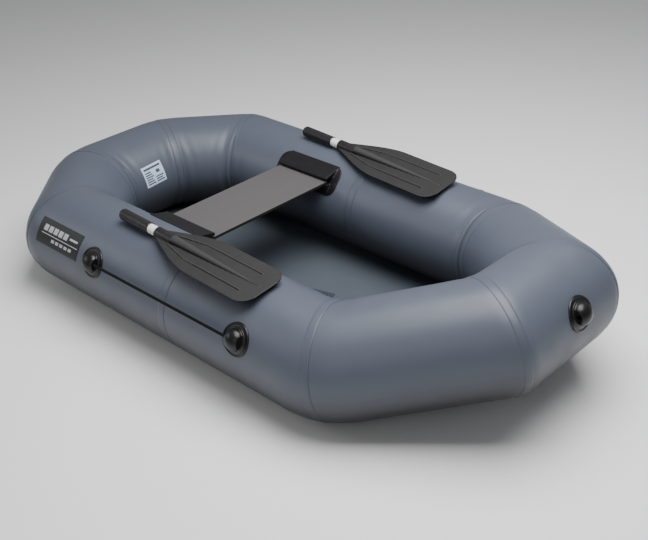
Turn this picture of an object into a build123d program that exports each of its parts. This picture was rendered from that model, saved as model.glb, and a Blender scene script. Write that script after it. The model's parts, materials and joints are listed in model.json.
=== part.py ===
"""Small inflatable rowing dinghy with a raised bow, seat board and two hand paddles.

Frame: millimetres, +X to the bow, +Y to port, +Z up. The origin is on the underside of
the floor sheet, on the centreline, below the seams of the two mid-length bulkheads.
"""

from build123d import *
from math import cos, radians, sin, sqrt
import os

os.makedirs("parts", exist_ok=True)

# ---------------------------------------------------------------- driving dimensions
# Inflated hull: an eight-sided ring of round tubes, given by the corners of its axis
tube_radius = 150.0
fabric = 0.9
side_axis_y = 367.0
side_bow_x = 482.0
side_stern_x = -601.0
bow_axis_x = 800.0
bow_half_width = 125.0
bow_rise = 97.0
stern_axis_x = -801.0
stern_half_width = 155.0

# Strips and sheets glued to the tubes
glue = 0.1
tape = 0.8
seam_width = 26.0
bulkhead_x = 0.0
bulkhead_flange = 18.0
bond_half_angle = 9.0
floor_thickness = 0.9
floor_margin = 20.0

# Floor patch
patch_length = 84.0
patch_width = 60.0
patch_corner = 6.0
patch_centre = (62.0, 20.0)
patch_turn = 17.0

# Printed plates
badge_length = 213.0
badge_height = 79.0
badge_slant = 9.0
badge_thickness = 0.5
badge_x = -485.0
badge_elevation = 30.0
label_width = 82.0
label_height = 70.0
label_thickness = 0.3
label_y = -6.0
label_elevation = 19.5
label_tilt = 4.0

# Rope holders: a disc that follows the tube, with a hollow dome over the knot
holder_elevation = 23.5
holder_stern_x = -311.0
holder_bow_x = 290.0
tow_elevation = 21.0
tow_y = 15.0
disc_radius = 45.0
disc_thickness = 3.5
dome_radius = 29.0
dome_rise = 20.0
dome_wall = 7.0
dome_flat_x = 23.0
rope_diameter = 8.0
rope_play = 1.0
knot_radius = 8.0
knot_half_length = 8.0
knot_room = 4.5
knot_top_play = 1.5
tow_hole_radius = 6.0

# Seat board and its two moulded holders
board_width = 205.0
board_thickness = 10.0
board_x = -198.0
board_elevation = 43.4
board_corner = 12.0
board_edge = 2.0
board_play = 0.4
board_end_play = 2.0
board_cover = 15.0
holder_flange = 3.0
holder_plate_margin = 28.5
holder_plate_height = 98.0
holder_plate_corner = 34.0
holder_plate_elevation = 41.0
hood_gap = 4.6
hood_lip = 10.0
hood_back_elevation = 62.2
hood_end_play = 3.0

# Hand paddles
paddle_length = 606.0
grip_length = 132.0
grip_wall = 2.9
grip_end_wall = 30.0
grip_fillet = 9.0
shaft_radius = 14.0
shaft_wall = 1.6
shaft_gap = 0.1
shaft_visible = 33.0
socket_wall = 2.9
socket_depth = 62.0
blade_width = 156.0
blade_thickness = 4.0
blade_tip_radius = 45.0
shoulder_width = 24.0
shoulder_length = 98.0
shoulder_reach = 213.0
spine_end_inset = 27.0
spine_end_radius = 3.0
rib_edge_inset = 37.5
rib_root_gap = 5.0
rib_root_length = 70.0
rib_flare_length = 98.0
rib_end_inset = 56.0
rib_width = 5.0
rib_height = 2.0
rivet_radius = 2.5
rivet_head_radius = 4.5
rivet_head = 1.4
rivet_inset = 34.0
paddle_pitch = 1.0
paddle_rest_gap = 0.4
paddle_starboard_x = -301.0
paddle_starboard_outboard = 20.0
paddle_starboard_yaw = -1.6
paddle_starboard_roll = 7.0
paddle_port_x = -315.0
paddle_port_outboard = 0.5
paddle_port_yaw = -3.0
paddle_port_roll = 9.5

# Air valves, both on the inner face of the starboard side tube
valve_elevation = 15.0
valve_bow_x = 330.0
valve_stern_x = -450.0
flange_radius = 30.0
flange_low = 1.6
flange_thickness = 3.0
barrel_wall = 5.0
wall_hole_play = 0.8
socket_bore = 15.0
socket_depth_floor = 12.6
throat_ledge = 2.5
spider_thickness = 2.5
spider_hub_radius = 5.0
spoke_width = 3.0
stem_radius = 2.5
stem_play = 0.25
button_radius = 7.0
button_thickness = 2.5
poppet_thickness = 2.5
poppet_overlap = 4.5
poppet_gap = 0.3
stem_travel = 4.5
spring_radius = 4.6
spring_wire = 0.45
spring_turns = 4.0
spring_room = 4.5
throat_below_spider = 4.0
gasket_inset = 1.0
nut_inset = 2.0
nut_depth = 9.0
nut_play = 0.4
cap_inset = 4.0
cap_gap = 0.4
cap_thickness = 4.0
cap_edge = 1.2
cap_neck_wall = 5.0
cap_plug_play = 1.0
cap_plug_depth = 4.0
cap_rib_height = 4.0
cap_rib_width = 5.0
cap_rib_length = 34.0
tether_gap = 0.5
tether_thickness = 2.0
tether_inset = 2.0
tether_play = 0.4
tether_strap_width = 9.0
hinge_clearance = 6.0
hinge_pin_radius = 1.5
hinge_barrel_radius = 3.0
hinge_play = 0.05
ear_thickness = 2.5
ear_gap = 0.4
sill_thickness = 1.0

# ---------------------------------------------------------------- derived sizes
floor_outer = tube_radius + glue + tape + glue + floor_thickness
axis_z = floor_outer
tape_inner = tube_radius + glue
tape_outer = tape_inner + tape

rope_hole_radius = rope_diameter / 2 + rope_play
rope_height = knot_radius + knot_room
knot_cavity_radius = knot_radius + knot_room
knot_cavity_height = rope_height + knot_radius + knot_top_play
dome_height = knot_cavity_height + dome_wall

board_top_z = axis_z + tape_inner * sin(radians(board_elevation))
board_low_z = board_top_z - board_thickness
slot_low = board_low_z - board_play
slot_high = board_top_z + hood_gap
holder_face = tape_inner + holder_flange
board_end_y = side_axis_y - sqrt(holder_face**2 - (slot_low - axis_z) ** 2) - board_end_play
hood_front_y = board_end_y - board_cover
hood_back_y = side_axis_y - tape_inner * cos(radians(hood_back_elevation))
hood_back_z = axis_z + tape_inner * sin(radians(hood_back_elevation))

grip_radius = shaft_radius + shaft_gap + grip_wall
socket_radius = shaft_radius + shaft_gap + socket_wall
blade_root = grip_length + shaft_visible
socket_end = blade_root + socket_depth

flange_high = flange_low + flange_thickness
barrel_radius = socket_bore + barrel_wall
throat_bore = socket_bore - throat_ledge
socket_floor = flange_high - socket_depth_floor
button_low = socket_floor - button_thickness
spider_high = button_low - stem_travel - spring_room
spider_low = spider_high - spider_thickness
barrel_low = spider_low - throat_below_spider
poppet_radius = throat_bore + poppet_overlap
nut_radius = flange_radius - nut_inset
cap_radius = flange_radius - cap_inset
tether_ring_radius = cap_radius - tether_inset
tether_low = flange_high + tether_gap
tether_high = tether_low + tether_thickness
cap_low = tether_high + cap_gap
cap_top = cap_low + cap_thickness
cap_neck_radius = tether_ring_radius - cap_neck_wall
cap_plug_radius = socket_bore - cap_plug_play
cap_plug_low = flange_high - cap_plug_depth
hinge_reach = flange_radius + hinge_clearance
hinge_height = (tether_low + tether_high) / 2

bow_slope = Vector(bow_axis_x - side_bow_x, 0, bow_rise).normalized()
down = Vector(0, 0, -1)
ramp_down = Vector(bow_slope.Z, 0, -bow_slope.X)

corners = [
    Vector(stern_axis_x, -stern_half_width, axis_z),
    Vector(side_stern_x, -side_axis_y, axis_z),
    Vector(side_bow_x, -side_axis_y, axis_z),
    Vector(bow_axis_x, -bow_half_width, axis_z + bow_rise),
    Vector(bow_axis_x, bow_half_width, axis_z + bow_rise),
    Vector(side_bow_x, side_axis_y, axis_z),
    Vector(side_stern_x, side_axis_y, axis_z),
    Vector(stern_axis_x, stern_half_width, axis_z),
]
tube_names = [
    "stern_corner_tube_starboard",
    "side_tube_starboard",
    "bow_corner_tube_starboard",
    "bow_tube",
    "bow_corner_tube_port",
    "side_tube_port",
    "stern_corner_tube_port",
    "stern_tube",
]
seam_names = [
    "seam_strip_stern_starboard",
    "seam_strip_quarter_starboard",
    "seam_strip_shoulder_starboard",
    "seam_strip_bow_starboard",
    "seam_strip_bow_port",
    "seam_strip_shoulder_port",
    "seam_strip_quarter_port",
    "seam_strip_stern_port",
]
side_starboard = tube_names.index("side_tube_starboard")
side_port = tube_names.index("side_tube_port")
raised = [tube_names.index("bow_corner_tube_starboard") + i for i in range(3)]
count = len(corners)
headings = [(corners[(i + 1) % count] - corners[i]).normalized() for i in range(count)]

parts = {}


# ---------------------------------------------------------------- hull helpers
def seam_plane(corner, shift=0.0):
    """The mitre plane at a corner of the ring, moved along the ring by shift."""
    normal = (headings[corner - 1] + headings[corner]).normalized()
    return Plane(origin=corners[corner] + normal * shift, z_dir=normal)


def between(shape, first, last):
    """What is left of a shape after the first plane and before the last."""
    shape = split(shape, bisect_by=first, keep=Keep.TOP)
    return split(shape, bisect_by=last, keep=Keep.BOTTOM)


def tube_frame(run):
    """A frame on a tube's axis: z along the tube, x down to the floor sheet."""
    below = ramp_down if run in raised else down
    return Plane(origin=corners[run], x_dir=below, z_dir=headings[run])


def long_ring(run, inner, outer):
    """A ring section along one tube's axis, running well past both of its ends."""
    length = (corners[(run + 1) % count] - corners[run]).length
    section = Circle(outer) - Circle(inner)
    start = tube_frame(run).offset(-2 * tube_radius)
    return extrude(start * section, length + 4 * tube_radius)


def tube_run(run, inner, outer):
    """One tube's wall between its two mitre planes."""
    ring = long_ring(run, inner, outer)
    return between(ring, seam_plane(run), seam_plane((run + 1) % count))


def ring_sector(inner, outer, middle, half_angle):
    """A flat ring section that spans half_angle each side of the middle direction."""
    reach = 2 * outer
    left = radians(middle - half_angle)
    right = radians(middle + half_angle)
    far_left = (reach * cos(left), reach * sin(left))
    far_right = (reach * cos(right), reach * sin(right))
    wedge = make_face(Polyline((0, 0), far_left, far_right, (0, 0)))
    return (Circle(outer) - Circle(inner)) & wedge


def side_outward(side, elevation, outward=1):
    """Direction out of a side tube, side -1 starboard or 1 port, outward or inward."""
    angle = radians(elevation)
    return Vector(0, side * outward * cos(angle), sin(angle))


def glued_patch(outline, axis_point, outward, along, inner, outer):
    """A flat outline wrapped straight on to a tube as a skin from inner to outer."""
    place = Plane(origin=axis_point, x_dir=along, z_dir=outward)
    prism = extrude(place * outline, 2 * tube_radius)
    axis = Plane(origin=axis_point, z_dir=along)
    reach = 2 * tube_radius
    shell = extrude(axis * (Circle(outer) - Circle(inner)), reach, both=True)
    return prism & shell


# ---------------------------------------------------------------- inflated hull
def valve_frame(x):
    """On the tube surface at a valve: z out of the tube, x to the bow."""
    outward = side_outward(-1, valve_elevation, -1)
    axis_point = Vector(x, -side_axis_y, axis_z)
    return Plane(origin=axis_point + outward * tube_radius, x_dir=(1, 0, 0), z_dir=outward)


def build_hull():
    for run, name in enumerate(tube_names):
        parts[name] = tube_run(run, tube_radius - fabric, tube_radius)
    for x in (valve_bow_x, valve_stern_x):
        hole = Cylinder(barrel_radius + wall_hole_play, 4 * flange_radius)
        parts["side_tube_starboard"] -= valve_frame(x) * hole


def build_seam_strips():
    for corner, name in enumerate(seam_names):
        before = long_ring(corner - 1, tape_inner, tape_outer)
        after = long_ring(corner, tape_inner, tape_outer)
        half = seam_width / 2
        strip = between(before, seam_plane(corner, -half), seam_plane(corner))
        strip += between(after, seam_plane(corner), seam_plane(corner, half))
        parts[name] = strip


def build_bulkheads():
    for name, side in (("starboard", -1), ("port", 1)):
        middle = Pos(bulkhead_x, side * side_axis_y, axis_z) * Rot(0, 90, 0)
        radius = tube_radius - fabric - glue
        disc = Cylinder(radius, fabric)
        flange = Cylinder(radius, bulkhead_flange) - Cylinder(radius - fabric, bulkhead_flange)
        parts["bulkhead_" + name] = middle * (disc + flange)
        strip = Cylinder(tape_outer, seam_width) - Cylinder(tape_inner, seam_width)
        parts["bulkhead_strip_" + name] = middle * strip


def build_floor():
    """A flat sheet and a bow ramp, folded where both pass under the side tube corners."""
    # The sheet's edge stands floor_margin outside the lines that touch the tubes.
    low, high = -side_axis_y - floor_margin, side_axis_y + floor_margin
    taper = (side_axis_y - stern_half_width) / (side_stern_x - stern_axis_x)
    edge = floor_margin * sqrt(1 + taper * taper)
    stern_x = stern_axis_x - floor_margin
    stern_y = stern_half_width + edge - taper * floor_margin
    quarter_x = side_stern_x - (edge - floor_margin) / taper
    fold_side = Plane(
        origin=(side_bow_x, 0, axis_z),
        z_dir=Vector(1, 0, 0) + bow_slope,
    )
    flat_end = side_bow_x + tube_radius
    flat = make_face(
        Polyline(
            (stern_x, -stern_y),
            (quarter_x, low),
            (flat_end, low),
            (flat_end, high),
            (quarter_x, high),
            (stern_x, stern_y),
            (stern_x, -stern_y),
        )
    )
    flat_sheet = split(extrude(flat, floor_thickness), bisect_by=fold_side, keep=Keep.BOTTOM)

    ramp_length = (bow_axis_x - side_bow_x) / bow_slope.X
    narrowing = (side_axis_y - bow_half_width) / ramp_length
    ramp_edge = floor_margin * sqrt(1 + narrowing * narrowing)
    bend_x = (ramp_edge - floor_margin) / narrowing
    tip_x = ramp_length + floor_margin
    tip_y = bow_half_width + ramp_edge - narrowing * floor_margin
    ramp_frame = Plane(origin=(side_bow_x, 0, axis_z), x_dir=bow_slope, z_dir=-ramp_down)
    ramp = make_face(
        Polyline(
            (-tube_radius, low),
            (bend_x, low),
            (tip_x, -tip_y),
            (tip_x, tip_y),
            (bend_x, high),
            (-tube_radius, high),
            (-tube_radius, low),
        )
    )
    ramp_sheet = extrude(ramp_frame.offset(-floor_outer) * ramp, floor_thickness)
    ramp_sheet = split(ramp_sheet, bisect_by=fold_side, keep=Keep.TOP)
    parts["floor_sheet"] = flat_sheet + ramp_sheet

    strips = []
    clear = seam_width / 2 + glue
    for run in range(count):
        section = ring_sector(tape_inner, tape_outer, 0, bond_half_angle)
        start = tube_frame(run).offset(-tube_radius)
        length = (corners[(run + 1) % count] - corners[run]).length
        band = extrude(start * section, length + 2 * tube_radius)
        after = (run + 1) % count
        cut = between(band, seam_plane(run, clear), seam_plane(after, -clear))
        if run in (side_starboard, side_port):
            gap = Box(seam_width + 2 * glue, 4 * side_axis_y, 2 * tube_radius)
            cut -= Pos(bulkhead_x, 0, 0) * gap
        strips += cut.solids()
    parts["floor_bond_tape"] = Compound(children=strips)

    patch = extrude(RectangleRounded(patch_length, patch_width, patch_corner), tape)
    place = Pos(*patch_centre, floor_thickness + glue) * Rot(0, 0, patch_turn)
    parts["floor_patch"] = place * patch


def build_plates():
    half_length = badge_length / 2
    half_height = badge_height / 2
    outline = make_face(
        Polyline(
            (-half_length, -half_height),
            (half_length - badge_slant, -half_height),
            (half_length, half_height),
            (-half_length + badge_slant, half_height),
            (-half_length, -half_height),
        )
    )
    inner = tube_radius + glue
    parts["maker_plate"] = glued_patch(
        outline,
        Vector(badge_x, -side_axis_y, axis_z),
        side_outward(-1, badge_elevation),
        Vector(1, 0, 0),
        inner,
        inner + badge_thickness,
    )
    angle = radians(label_elevation)
    parts["data_label"] = glued_patch(
        Rot(0, 0, label_tilt) * RectangleRounded(label_width, label_height, 2),
        Vector(stern_axis_x, label_y, axis_z),
        Vector(cos(angle), 0, sin(angle)),
        Vector(0, 1, 0),
        inner,
        inner + label_thickness,
    )


# ---------------------------------------------------------------- ropes and holders
def holder_frame(axis_point, outward, along):
    """On the tube surface at a rope holder: z out of the tube, x along the rope."""
    return Plane(origin=axis_point + outward * tube_radius, x_dir=along, z_dir=outward)


def tube_below(radius):
    """The tube under a holder, as a bar along local x below the surface point."""
    bar = Rot(0, 90, 0) * Cylinder(radius, 4 * disc_radius)
    return Pos(0, 0, -tube_radius) * bar


def holder_body():
    """A disc that hugs the tube and a dome on it, flat on the two rope sides."""
    disc = Cylinder(disc_radius, 4 * dome_height) & tube_below(tape_inner + disc_thickness)
    crown_radius = (dome_radius**2 + dome_rise**2) / (2 * dome_rise)
    crown = Pos(0, 0, dome_height - crown_radius) * Sphere(crown_radius)
    dome = Cylinder(dome_radius, 2 * dome_height) & crown
    dome &= Box(2 * dome_flat_x, 4 * dome_radius, 4 * dome_height)
    return disc + dome - tube_below(tape_inner)


def rope_bore(radius, start, length):
    """A round hole along local x at the rope's height."""
    bore = Cylinder(radius, length, align=(Align.CENTER, Align.CENTER, Align.MIN))
    return Pos(start, 0, rope_height) * Rot(0, 90, 0) * bore


def lifeline_holder():
    """The dome is hollow from below, and holed on the side that the rope leaves."""
    cavity = Cylinder(
        knot_cavity_radius,
        knot_cavity_height + disc_radius,
        align=(Align.CENTER, Align.CENTER, Align.MAX),
    )
    body = holder_body() - Pos(0, 0, knot_cavity_height) * cavity
    return body - rope_bore(rope_hole_radius, 0, 2 * dome_flat_x)


def build_ropes():
    for name, side in (("starboard", -1), ("port", 1)):
        outward = side_outward(side, holder_elevation)
        ends = []
        for end, x, along in (
            ("stern", holder_stern_x, 1),
            ("bow", holder_bow_x, -1),
        ):
            axis_point = Vector(x, side * side_axis_y, axis_z)
            frame = holder_frame(axis_point, outward, Vector(along, 0, 0))
            parts["rope_holder_" + end + "_" + name] = frame * lifeline_holder()
            ends.append(axis_point + outward * (tube_radius + rope_height))
        knots = []
        for point in ends:
            knot = Cylinder(knot_radius, 2 * knot_half_length)
            knot = fillet(knot.edges(), knot_half_length / 3)
            knots += (Pos(*point) * Rot(0, 90, 0) * knot).solids()
        parts["lifeline_knots_" + name] = Compound(children=knots)
        start = ends[0] + Vector(knot_half_length, 0, 0)
        finish = ends[1] - Vector(knot_half_length, 0, 0)
        rope_start = Plane(origin=start, z_dir=(1, 0, 0))
        rope = extrude(rope_start * Circle(rope_diameter / 2), (finish - start).length)
        parts["lifeline_" + name] = rope

    angle = radians(tow_elevation)
    outward = Vector(cos(angle), 0, sin(angle))
    axis_point = Vector(bow_axis_x, tow_y, axis_z + bow_rise)
    frame = holder_frame(axis_point, outward, Vector(0, 1, 0))
    tow = holder_body() - rope_bore(tow_hole_radius, -2 * dome_flat_x, 4 * dome_flat_x)
    parts["tow_holder"] = frame * tow


# ---------------------------------------------------------------- seat
def seat_holder_port():
    """A plate that hugs the tube, with a shelf under the board and a hood over it."""
    outward = side_outward(1, holder_plate_elevation, -1)
    plate_length = board_width + 2 * holder_plate_margin
    outline = RectangleRounded(plate_length, holder_plate_height, holder_plate_corner)
    plate = glued_patch(
        outline,
        Vector(board_x, side_axis_y, axis_z),
        outward,
        Vector(1, 0, 0),
        tape_inner,
        holder_face,
    )
    lip_top = slot_high + hood_lip
    section = make_face(
        Polyline(
            (hood_front_y, axis_z),
            (hood_front_y, lip_top - hood_lip / 4),
            (hood_front_y + hood_lip / 2, lip_top),
            (hood_back_y, hood_back_z),
            (hood_back_y, axis_z),
            (hood_front_y, axis_z),
        )
    )
    length = board_width + 2 * hood_end_play
    start = Plane(origin=(board_x - length / 2, 0, 0), x_dir=(0, 1, 0), z_dir=(1, 0, 0))
    block = extrude(start * section, length)
    tube = Plane(origin=(board_x, side_axis_y, axis_z), z_dir=(1, 0, 0))
    block -= extrude(tube * Circle(tape_inner), length, both=True)
    slot_depth = side_axis_y - hood_front_y
    slot = Box(
        2 * length,
        slot_depth,
        slot_high - slot_low,
        align=(Align.CENTER, Align.MIN, Align.MIN),
    )
    return plate + (block - Pos(board_x, hood_front_y - 1, slot_low) * slot)


def build_seat():
    holder = seat_holder_port()
    parts["seat_holder_port"] = holder
    parts["seat_holder_starboard"] = mirror(holder, about=Plane.XZ)
    outline = RectangleRounded(board_width, 2 * board_end_y, board_corner)
    board = extrude(outline, board_thickness)
    rim = board.edges().group_by(Axis.Z)[0] + board.edges().group_by(Axis.Z)[-1]
    board = fillet(rim, board_edge)
    parts["seat_board"] = Pos(board_x, 0, board_low_z) * board


# ---------------------------------------------------------------- paddles
def bar_along_x(radius, start, end):
    """A round bar along the paddle's own x axis."""
    bar = Cylinder(radius, end - start, align=(Align.CENTER, Align.CENTER, Align.MIN))
    return Pos(start, 0, 0) * Rot(0, 90, 0) * bar


def paddle_grip():
    solid = bar_along_x(grip_radius, 0, grip_length)
    end_edge = solid.edges().group_by(Axis.X)[0]
    solid = fillet(end_edge, grip_fillet)
    return solid - bar_along_x(shaft_radius + shaft_gap, grip_end_wall, grip_length)


def paddle_shaft():
    start = grip_end_wall + shaft_gap
    end = socket_end - shaft_gap
    bore = bar_along_x(shaft_radius - shaft_wall, start, end)
    return bar_along_x(shaft_radius, start, end) - bore


def blade_outline():
    """Half of the blade's edge as shoulders, straight sides and rounded tip corners."""
    half = blade_width / 2
    root_y = shaft_radius + socket_wall
    root_x = blade_root + socket_wall
    wing_x = root_x + shoulder_length
    wing_y = half - shoulder_width
    straight_x = root_x + shoulder_reach
    corner_start = paddle_length - blade_tip_radius
    shoulder = Spline(
        (root_x, root_y),
        (wing_x, wing_y),
        (straight_x, half),
        tangents=((1, 0.4), (1, 0)),
    )
    side_line = Line((straight_x, half), (corner_start, half))
    tip_corner = CenterArc((corner_start, half - blade_tip_radius), blade_tip_radius, 90, -90)
    tip_line = Line((paddle_length, half - blade_tip_radius), (paddle_length, 0))
    middle = Line((paddle_length, 0), (root_x, 0))
    root_line = Line((root_x, 0), (root_x, root_y))
    half_face = make_face(shoulder + side_line + tip_corner + tip_line + middle + root_line)
    return half_face + mirror(half_face, about=Plane.XZ)


def blade_rib(side):
    """A raised rib on both faces: out from the socket, then along the blade."""
    start_x = blade_root + rib_root_length
    offset = side * (blade_width / 2 - rib_edge_inset)
    path = Polyline(
        (start_x, side * (socket_radius + rib_root_gap)),
        (start_x + rib_flare_length, offset),
        (paddle_length - rib_end_inset, offset),
    )
    outline = trace(path, rib_width)
    return extrude(outline, blade_thickness / 2 + rib_height, both=True)


def paddle_blade():
    plate = extrude(blade_outline(), blade_thickness / 2, both=True)
    cone = Cone(
        socket_radius,
        spine_end_radius,
        paddle_length - spine_end_inset - socket_end,
        align=(Align.CENTER, Align.CENTER, Align.MIN),
    )
    socket = bar_along_x(socket_radius, blade_root, socket_end)
    spine = Pos(socket_end, 0, 0) * Rot(0, 90, 0) * cone
    blade = plate + socket + spine + blade_rib(1) + blade_rib(-1)
    return blade - bar_along_x(shaft_radius + shaft_gap, blade_root - 1, socket_end)


def paddle_rivet():
    """A blind rivet up through the socket and the shaft's wall."""
    low = -socket_radius - shaft_gap
    top = -shaft_radius + shaft_wall + rivet_head
    body = Cylinder(rivet_radius, top - low, align=(Align.CENTER, Align.CENTER, Align.MIN))
    head = Cylinder(
        rivet_head_radius, rivet_head, align=(Align.CENTER, Align.CENTER, Align.MAX)
    )
    head = fillet(head.edges().group_by(Axis.Z)[0], rivet_head / 2)
    return Pos(blade_root + rivet_inset, 0, low) * (body + head)


def build_paddles():
    hole = Cylinder(rivet_radius + shaft_gap, 2 * shaft_radius)
    bore = Pos(blade_root + rivet_inset, 0, -socket_radius) * hole
    pieces = {
        "grip": paddle_grip(),
        "shaft": paddle_shaft() - bore,
        "blade": paddle_blade() - bore,
        "rivet": paddle_rivet(),
    }
    # The socket's inner end rests on the tube's crest, and the blade's tip dips to it.
    pitch = radians(paddle_pitch)
    crest = axis_z + tape_outer + paddle_rest_gap
    axis_height = crest + socket_radius / cos(pitch) + socket_end * sin(pitch)
    starboard_y = -side_axis_y - paddle_starboard_outboard
    port_y = side_axis_y + paddle_port_outboard
    for name, x, y, yaw, roll in (
        ("starboard", paddle_starboard_x, starboard_y, paddle_starboard_yaw, paddle_starboard_roll),
        ("port", paddle_port_x, port_y, paddle_port_yaw, paddle_port_roll),
    ):
        turn = Rot(0, 0, yaw) * Rot(0, paddle_pitch, 0) * Rot(roll, 0, 0)
        place = Pos(x, y, axis_height) * turn
        for piece, solid in pieces.items():
            parts["paddle_" + piece + "_" + name] = place * solid


# ---------------------------------------------------------------- air valves
# A valve's own frame has z out of the tube from its surface, and y down the tube.
def disc_between(radius, low, high):
    tall = Cylinder(radius, high - low, align=(Align.CENTER, Align.CENTER, Align.MIN))
    return Pos(0, 0, low) * tall


def block_between(width, low_y, high_y, low, high):
    """A block centred on x, given by its y and z limits."""
    block = Box(
        width,
        high_y - low_y,
        high - low,
        align=(Align.CENTER, Align.MIN, Align.MIN),
    )
    return Pos(0, low_y, low) * block


def hinge_bar(radius, length):
    """A round bar along the tether hinge's axis."""
    return Pos(0, -hinge_reach, hinge_height) * Rot(0, 90, 0) * Cylinder(radius, length)


def tube_under_valve(radius):
    bar = Rot(0, 90, 0) * Cylinder(radius, 4 * flange_radius)
    return Pos(0, 0, -tube_radius) * bar


def valve_body():
    body = disc_between(flange_radius, flange_low, flange_high)
    body = fillet(body.edges().group_by(Axis.Z)[-1], flange_thickness / 3)
    ear_length = hinge_barrel_radius + ear_thickness
    ears_out = tether_strap_width + 2 * (ear_gap + ear_thickness)
    far = -hinge_reach - hinge_barrel_radius
    sill_high = flange_low + sill_thickness
    body += block_between(ears_out, far, -barrel_radius, flange_low, sill_high)
    ears = block_between(
        ears_out, far, far + 2 * ear_length, flange_low, hinge_height + hinge_barrel_radius
    )
    gap = block_between(
        tether_strap_width + 2 * ear_gap, far - 1, -nut_radius, sill_high, cap_top
    )
    near_gap = disc_between(cap_radius + 1, flange_high, cap_top)
    body = body + (ears - near_gap) - gap
    body += hinge_bar(hinge_pin_radius, ears_out)
    body += disc_between(barrel_radius, barrel_low, flange_low)
    body -= disc_between(socket_bore, socket_floor, flange_high + 1)
    body -= disc_between(throat_bore, barrel_low - 1, socket_floor)
    spider = disc_between(spider_hub_radius, spider_low, spider_high)
    spoke = block_between(spoke_width, 0, throat_bore + 1, spider_low, spider_high)
    for turn in (0, 120, 240):
        spider += Rot(0, 0, turn) * spoke
    spider -= disc_between(stem_radius + stem_play, spider_low - 1, 0)
    return body + spider


def valve_stem():
    poppet_top = barrel_low - poppet_gap
    stem = disc_between(poppet_radius, poppet_top - poppet_thickness, poppet_top)
    stem += disc_between(stem_radius, poppet_top, button_low)
    return stem + disc_between(button_radius, button_low, socket_floor)


def valve_spring():
    """An open coil between the spider and the stem's button."""
    low = spider_high + spring_wire
    high = button_low - spring_wire
    coil = Helix((high - low) / spring_turns, high - low, spring_radius)
    wire = sweep(Plane(origin=coil @ 0, z_dir=coil % 0) * Circle(spring_wire), path=coil)
    return Pos(0, 0, low) * wire


def valve_gasket():
    """A rubber ring that fills the space between the flat flange and the round tube."""
    ring = disc_between(flange_radius - gasket_inset, -flange_radius / 2, flange_low)
    ring -= disc_between(barrel_radius + glue, -flange_radius, flange_radius)
    return ring - tube_under_valve(tube_radius)


def valve_nut():
    """A ring screwed up inside the tube, shaped to the wall on its outer face."""
    ring = disc_between(nut_radius, -nut_depth - fabric - glue, flange_low)
    ring -= disc_between(barrel_radius + nut_play, -flange_radius, flange_radius)
    return ring & tube_under_valve(tube_radius - fabric - glue)


def valve_tether():
    """A ring round the cap's neck, a strap, and the barrel of its hinge."""
    ring = disc_between(tether_ring_radius, tether_low, tether_high)
    strap = block_between(tether_strap_width, -hinge_reach, 0, tether_low, tether_high)
    barrel = hinge_bar(hinge_barrel_radius - ear_gap, tether_strap_width)
    tether = ring + strap + barrel
    tether -= disc_between(cap_neck_radius + tether_play, 0, cap_top)
    return tether - hinge_bar(hinge_pin_radius + hinge_play, 2 * tether_strap_width)


def valve_cap():
    cap = disc_between(cap_radius, cap_low, cap_top)
    cap = fillet(cap.edges().group_by(Axis.Z)[-1], cap_edge)
    cap += disc_between(cap_neck_radius, flange_high + stem_play, cap_low)
    cap += disc_between(cap_plug_radius, cap_plug_low, cap_low)
    half = cap_rib_length / 2
    rib_high = cap_top + cap_rib_height
    return cap + block_between(cap_rib_width, -half, half, cap_top - 1, rib_high)


def build_valves():
    pieces = {
        "body": valve_body(),
        "nut": valve_nut(),
        "gasket": valve_gasket(),
        "stem": valve_stem(),
        "spring": valve_spring(),
        "tether": valve_tether(),
        "cap": valve_cap(),
    }
    for name, x in (("bow", valve_bow_x), ("stern", valve_stern_x)):
        for piece, solid in pieces.items():
            parts["valve_" + piece + "_" + name] = valve_frame(x) * solid


# ---------------------------------------------------------------- build and write
build_hull()
build_seam_strips()
build_bulkheads()
build_floor()
build_plates()
build_ropes()
build_seat()
build_paddles()
build_valves()

for node, shape in parts.items():
    export_step(shape, "parts/" + node + ".step")

overall = Compound(children=[shape for shape in parts.values()]).bounding_box()
print("nodes", len(parts), "overall size", overall.size)
rope_span = holder_bow_x - holder_stern_x - 2 * knot_half_length
print("lifeline length", rope_span, "straight, so its route has no bend radius")
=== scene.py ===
"""Looks of the inflatable dinghy: metres, +X to the bow, +Y to port, +Z up."""

import json
from math import cos, exp, hypot, pi, radians, sin, sqrt

import bmesh
import bpy
from mathutils import Matrix, Vector, noise


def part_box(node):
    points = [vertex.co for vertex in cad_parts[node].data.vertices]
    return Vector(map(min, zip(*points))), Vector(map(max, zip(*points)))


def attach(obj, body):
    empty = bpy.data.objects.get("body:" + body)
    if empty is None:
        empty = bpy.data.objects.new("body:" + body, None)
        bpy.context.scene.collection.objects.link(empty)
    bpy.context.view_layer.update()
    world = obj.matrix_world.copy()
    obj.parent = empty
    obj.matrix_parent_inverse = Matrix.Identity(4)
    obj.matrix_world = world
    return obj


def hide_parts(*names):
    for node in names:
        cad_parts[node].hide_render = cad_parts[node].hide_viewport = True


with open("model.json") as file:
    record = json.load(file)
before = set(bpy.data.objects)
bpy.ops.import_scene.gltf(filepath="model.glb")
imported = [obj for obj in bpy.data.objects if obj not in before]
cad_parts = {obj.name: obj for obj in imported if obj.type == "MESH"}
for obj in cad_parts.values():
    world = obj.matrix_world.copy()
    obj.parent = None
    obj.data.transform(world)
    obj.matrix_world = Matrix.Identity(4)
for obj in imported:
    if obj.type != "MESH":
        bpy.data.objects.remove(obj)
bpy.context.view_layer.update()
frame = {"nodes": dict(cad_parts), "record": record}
nodes = frame["nodes"]
scene = bpy.context.scene

MM = 0.001

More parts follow.
